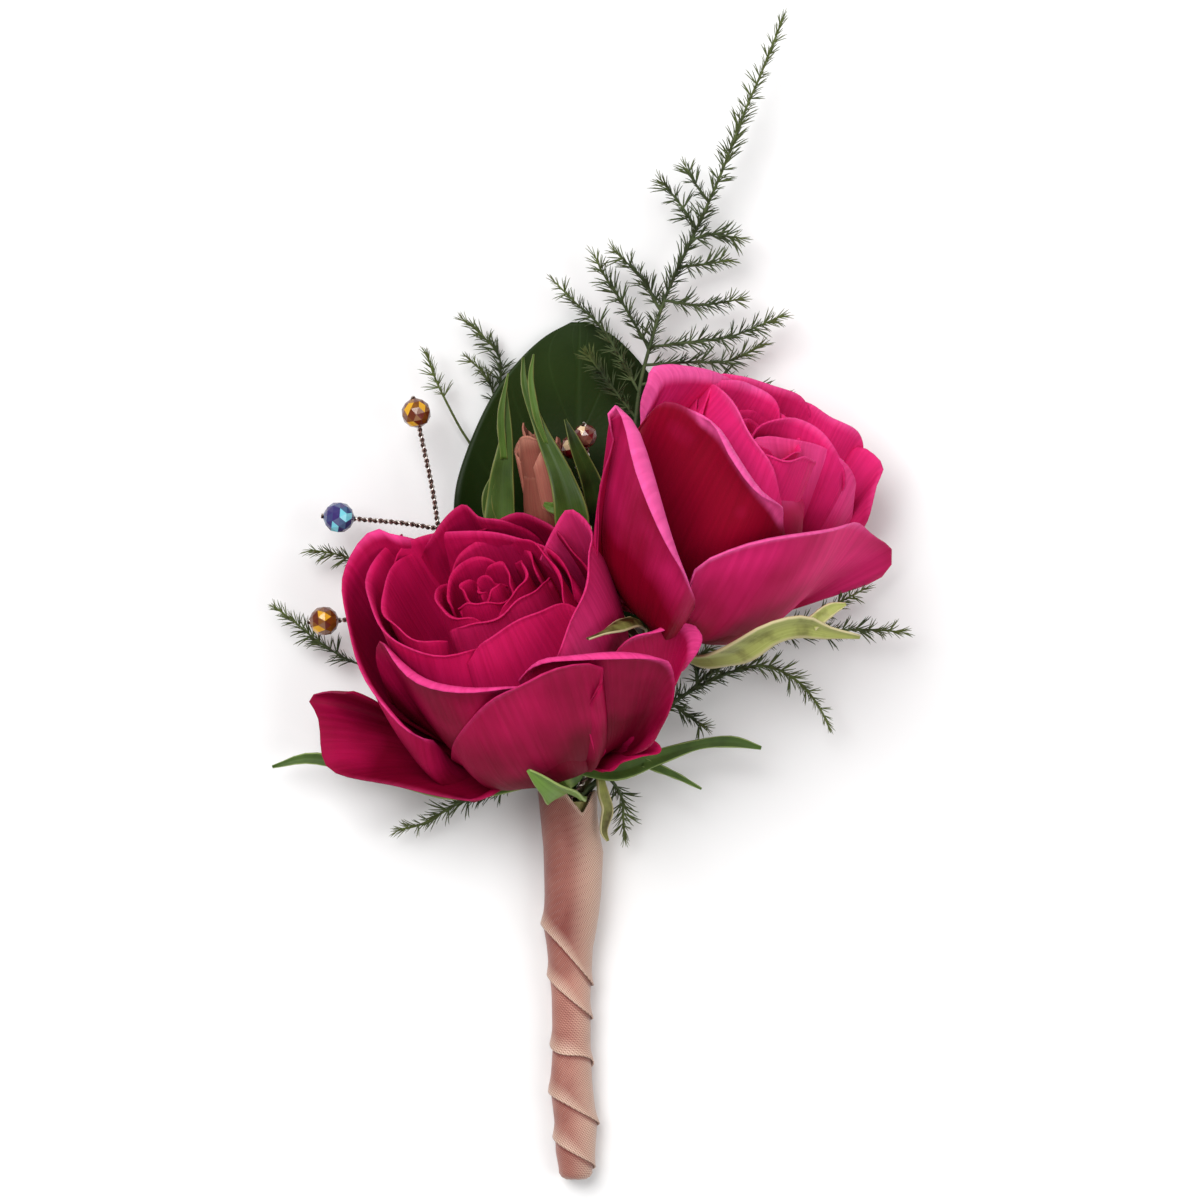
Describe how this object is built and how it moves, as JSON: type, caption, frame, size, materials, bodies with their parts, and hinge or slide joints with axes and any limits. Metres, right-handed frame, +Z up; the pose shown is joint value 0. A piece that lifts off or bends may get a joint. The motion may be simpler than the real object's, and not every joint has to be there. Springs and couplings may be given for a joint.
{
  "type": "boutonniere",
  "caption": "Boutonniere lying on its back: pink spray roses with a bud, a lemon leaf, asparagus fern and wired beads, the stems bound in satin ribbon.",
  "frame": {"origin": "middle of the bounding box in X and Y, on the flat surface that the piece lies on", "axes": "+Y from the ribboned stems towards the flowers and the fern's tip, +X across to the right as seen from above, +Z up out of the surface towards the flowers' faces"},
  "size_m": [0.0913, 0.1655, 0.0505],
  "materials": {
    "ribbon": "satin",
    "tape": "waxed crepe",
    "open_rose": "velvety",
    "open_rose_calyx": "matte, living plant",
    "side_rose": "velvety",
    "side_rose_calyx": "matte, living plant",
    "bud": "velvety",
    "bud_calyx": "matte, living plant",
    "leaf": "waxy gloss",
    "fern": "matte, living plant",
    "wire": "twisted craft wire",
    "amber_bead": "polished",
    "violet_bead": "polished, iridescent",
    "red_bead": "polished"
  },
  "bodies": {
    "root": {"ribbon_wrap": "ribbon", "floral_tape": "tape", "open_rose_petals": "open_rose", "open_rose_calyx": "open_rose_calyx", "side_rose_petals": "side_rose", "side_rose_calyx": "side_rose_calyx", "bud_petals": "bud", "bud_calyx": "bud_calyx", "lemon_leaf": "leaf", "bead_wires_left": "wire", "bead_wires_centre": "wire", "bead_amber_high": "amber_bead", "bead_violet": "violet_bead", "bead_amber_low": "amber_bead", "bead_red_front": "red_bead", "bead_red_back": "red_bead", "fern_tall": "fern", "fern_left": "fern", "fern_right": "fern", "fern_low_left": "fern", "fern_low_right": "fern"}
  },
  "joints": []
}
